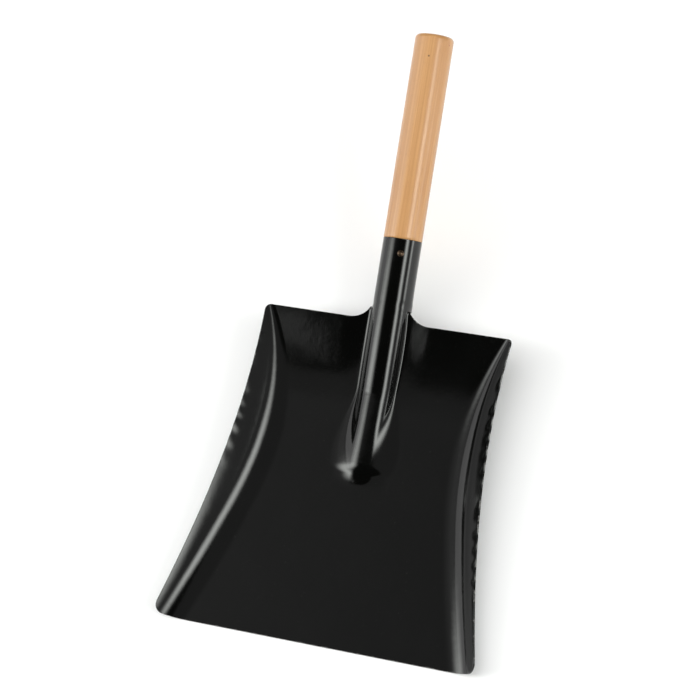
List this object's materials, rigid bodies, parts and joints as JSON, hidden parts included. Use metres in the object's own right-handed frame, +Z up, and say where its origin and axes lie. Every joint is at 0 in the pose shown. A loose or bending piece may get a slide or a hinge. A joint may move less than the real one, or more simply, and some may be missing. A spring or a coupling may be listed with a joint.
{
  "type": "hand scoop shovel",
  "caption": "Short-handled pressed-steel hand shovel with a shallow open-front pan, a rolled socket and a turned wooden handle.",
  "frame": {"origin": "under the middle of the whole shovel's bounding box, in the plane that the flat of the pan rests on", "axes": "+Z up out of the pan; +Y back along the handle, away from the open front edge; x = 0 is the mirror plane"},
  "size_m": [0.2364, 0.4369, 0.1031],
  "materials": {
    "painted_steel": "gloss",
    "wood": "lightly varnished",
    "nail_steel": "bronzed"
  },
  "bodies": {
    "root": {"pan_and_socket": "painted_steel", "handle": "wood", "nail": "nail_steel"}
  },
  "joints": []
}
